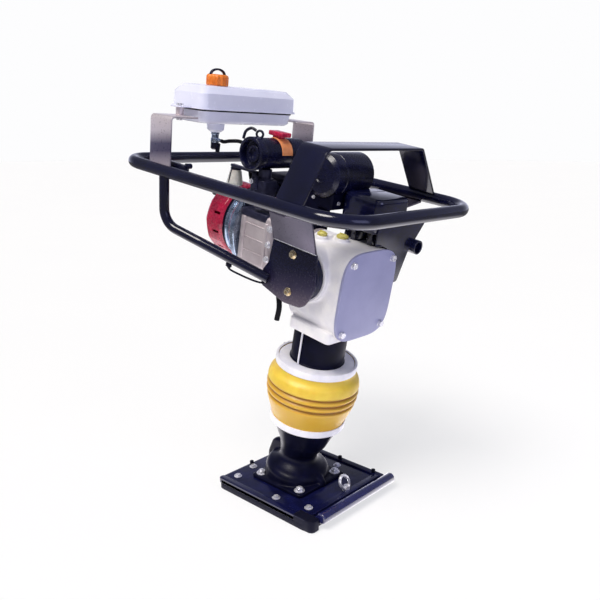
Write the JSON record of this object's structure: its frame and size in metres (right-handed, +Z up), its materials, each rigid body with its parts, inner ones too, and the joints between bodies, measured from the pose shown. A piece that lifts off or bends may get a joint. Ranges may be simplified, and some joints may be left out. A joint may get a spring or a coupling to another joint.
{
  "type": "tamping rammer",
  "caption": "Engine-driven soil rammer: sprung ram foot in a rubber gaiter, crankcase with crank gear, rocking handle loop with fuel tank and lifting arch.",
  "frame": {"origin": "centre of the flat bottom face of the shoe's wear pad", "axes": "+Z up; +X the way the machine travels, away from the operator; -Y the side with the throttle; the ram leans 11.1 degrees forward of +Z"},
  "size_m": [0.7028, 0.4768, 0.9956],
  "materials": {
    "wear_pad": "matte",
    "navy_paint": "gloss",
    "black_paint": "gloss",
    "white_paint": "satin",
    "clamp_white": "satin",
    "lilac_paint": "satin",
    "tank_paint": "gloss",
    "red_paint": "gloss",
    "steel": "satin",
    "cast_aluminium": "satin",
    "black_rubber": "matte",
    "rope": "matte",
    "yellow_rubber": "satin",
    "yellow_plastic": "satin",
    "orange_plastic": "satin",
    "black_plastic": "satin",
    "clear_plastic": "gloss"
  },
  "bodies": {
    "foot": {"shoe_pad": "wear_pad", "shoe_plate": "navy_paint", "foot_casting": "black_paint", "bellows": "yellow_rubber", "bellows_clamp_lower": "clamp_white", "spring_cylinder": "steel", "cylinder_cap": "steel", "lower_spring": "steel", "upper_spring": "steel"},
    "upper_unit": {"guide_cylinder": "black_paint", "bellows_clamp_upper": "clamp_white", "crankcase": "white_paint", "crankcase_cover": "lilac_paint", "oil_filler_plug": "yellow_plastic", "breather_plug": "yellow_plastic", "pinion_bearing_rear": "steel", "pinion_bearing_front": "steel", "crank_bearing": "steel", "clutch_housing": "cast_aluminium", "recoil_cover": "red_paint", "engine_crankcase": "cast_aluminium", "engine_side_plate": "cast_aluminium", "engine_cylinder": "cast_aluminium", "air_cleaner": "black_plastic", "filter_canister": "black_plastic", "canister_stand": "black_paint", "carburettor": "cast_aluminium", "fuel_strainer": "clear_plastic", "muffler": "black_paint", "rubber_mount_near": "black_rubber", "rubber_mount_far": "black_rubber", "starter_rope": "rope", "drain_hose": "black_rubber"},
    "piston": {"piston_rod": "steel", "spring_piston": "steel"},
    "crank": {"crank_gear": "steel"},
    "connecting_rod": {"conrod": "steel", "wrist_pin": "steel"},
    "pinion": {"pinion_shaft": "steel"},
    "engine_rotor": {"clutch_shoes": "steel", "engine_shaft": "steel", "flywheel": "cast_aluminium"},
    "starter_pulley": {"starter_pulley": "black_plastic"},
    "starter_grip": {"starter_grip": "black_plastic"},
    "choke": {"choke_lever": "black_plastic"},
    "handle": {"handle_loop": "black_paint", "side_bracket_near": "black_paint", "side_bracket_far": "black_paint", "guard_tube_near": "black_paint", "guard_tube_far": "black_paint", "tank_bracket_near": "black_paint", "tank_bracket_far": "black_paint", "lifting_bracket": "black_paint", "fuel_tank": "tank_paint", "fuel_cock": "steel", "fuel_hose": "black_rubber", "throttle_bracket": "black_plastic"},
    "fuel_cap": {"fuel_cap": "orange_plastic"},
    "cock_lever": {"fuel_cock_lever": "black_plastic"},
    "throttle": {"throttle_lever": "black_plastic"}
  },
  "joints": [
    {"name": "ram_travel", "type": "slide", "parent": "foot", "child": "upper_unit", "axis": [0.1925, 0, 0.9813], "range_m": [-0.03, 0.03], "stiffness_N_per_m": 20000, "springref_m": 0.02286, "deforming": ["bellows", "lower_spring", "upper_spring"]},
    {"name": "crank_turn", "type": "hinge", "parent": "upper_unit", "child": "crank", "pos_m": [0.07988, 0, 0.5142], "axis": [0.9813, 0, -0.1925], "continuous": true},
    {"name": "big_end_turn", "type": "hinge", "parent": "crank", "child": "connecting_rod", "pos_m": [0.08335, 0, 0.53186], "axis": [0.9813, 0, -0.1925], "continuous": true},
    {"name": "piston_stroke", "type": "slide", "parent": "upper_unit", "child": "piston", "axis": [0.1925, 0, 0.9813], "range_m": [-0.036, 0], "stiffness_N_per_m": 20000, "springref_m": 0.00097},
    {"name": "pinion_turn", "type": "hinge", "parent": "upper_unit", "child": "pinion", "pos_m": [0.09451, 0, 0.58878], "axis": [0.9813, 0, -0.1925], "continuous": true},
    {"name": "engine_turn", "type": "hinge", "parent": "upper_unit", "child": "engine_rotor", "pos_m": [-0.13609, 0, 0.63402], "axis": [0.9813, 0, -0.1925], "continuous": true},
    {"name": "pulley_turn", "type": "hinge", "parent": "upper_unit", "child": "starter_pulley", "pos_m": [-0.20576, 0, 0.64769], "axis": [0.9813, 0, -0.1925], "range_deg": [0, 860]},
    {"name": "starter_pull", "type": "slide", "parent": "upper_unit", "child": "starter_grip", "axis": [-0.9813, 0, 0.1925], "range_m": [0, 0.6], "stiffness_N_per_m": 15, "springref_m": -0.4, "deforming": ["starter_rope"]},
    {"name": "choke_turn", "type": "hinge", "parent": "upper_unit", "child": "choke", "pos_m": [-0.05859, -0.0883, 0.73295], "axis": [0, 1, 0], "range_deg": [0, 75]},
    {"name": "handle_rock", "type": "hinge", "parent": "upper_unit", "child": "handle", "pos_m": [0.09403, 0, 0.56034], "axis": [0, 1, 0], "range_deg": [-3, 3], "stiffness_Nm_per_rad": 2500, "springref_deg": 0.55, "deforming": ["fuel_hose"]},
    {"name": "cap_turn", "type": "hinge", "parent": "handle", "child": "fuel_cap", "pos_m": [-0.202, -0.07, 0.95655], "axis": [0.1288, 0, 0.9917], "range_deg": [0, 90]},
    {"name": "cock_turn", "type": "hinge", "parent": "handle", "child": "cock_lever", "pos_m": [-0.20466, -0.07, 0.82348], "axis": [0.9813, 0, -0.1925], "range_deg": [0, 90]},
    {"name": "throttle_turn", "type": "hinge", "parent": "handle", "child": "throttle", "pos_m": [-0.16533, -0.225, 0.77068], "axis": [0, 1, 0], "range_deg": [0, 60]}
  ],
  "couplings": [
    {"joint": "pinion_turn", "follows": "crank_turn", "ratio": -4.4286},
    {"joint": "big_end_turn", "follows": "crank_turn", "ratio": -1},
    {"joint": "pulley_turn", "follows": "starter_pull", "rad_per_m": 25}
  ]
}
